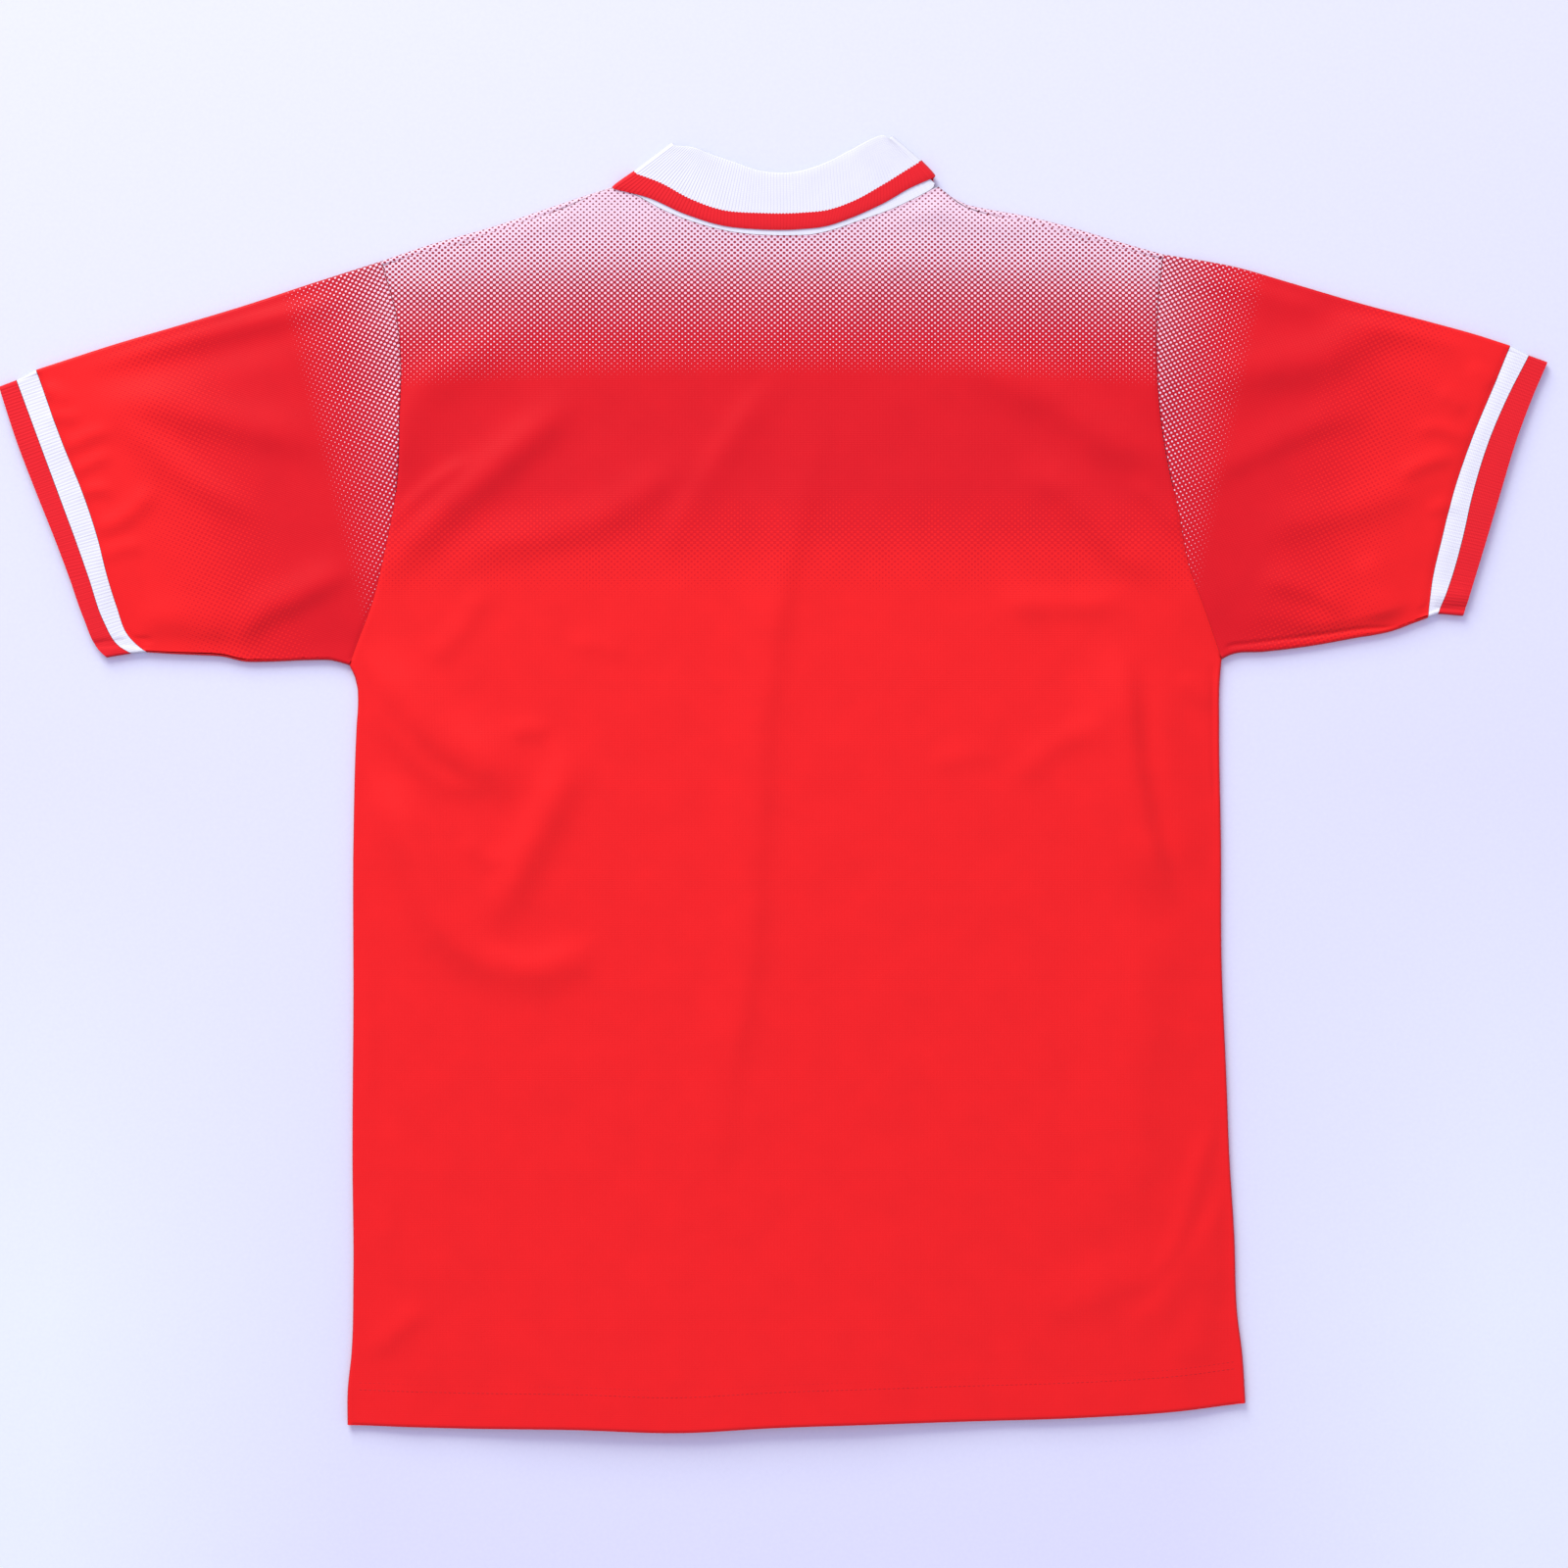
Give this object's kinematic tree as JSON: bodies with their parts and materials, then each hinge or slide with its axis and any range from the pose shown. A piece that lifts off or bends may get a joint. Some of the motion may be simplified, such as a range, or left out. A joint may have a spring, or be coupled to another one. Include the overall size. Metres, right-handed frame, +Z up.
{
  "type": "football jersey",
  "caption": "Short-sleeved football jersey laid flat with its back up, folded knit collar and ribbed cuffs with a coloured stripe.",
  "frame": {"origin": "middle of the underside of the jersey's box, on the surface that it lies on", "axes": "+Z up out of the back panel, +Y from the hem to the collar, +X towards the wearer's right sleeve"},
  "size_m": [0.986, 0.8252, 0.0098],
  "materials": {
    "printed_polyester": "fine knitted polyester, bright red with a printed fade of small dots to white over the shoulders, slight sheen",
    "white_knit": "white flat-knit rib, matte",
    "red_knit": "red flat-knit rib, matte"
  },
  "bodies": {
    "root": {"front": "printed_polyester", "back": "printed_polyester", "sleeve_left": "printed_polyester", "sleeve_right": "printed_polyester", "cuff_left": "white_knit", "cuff_right": "white_knit", "cuff_tipping_left": "red_knit", "cuff_tipping_right": "red_knit", "collar": "white_knit", "collar_tipping": "red_knit"}
  },
  "joints": []
}
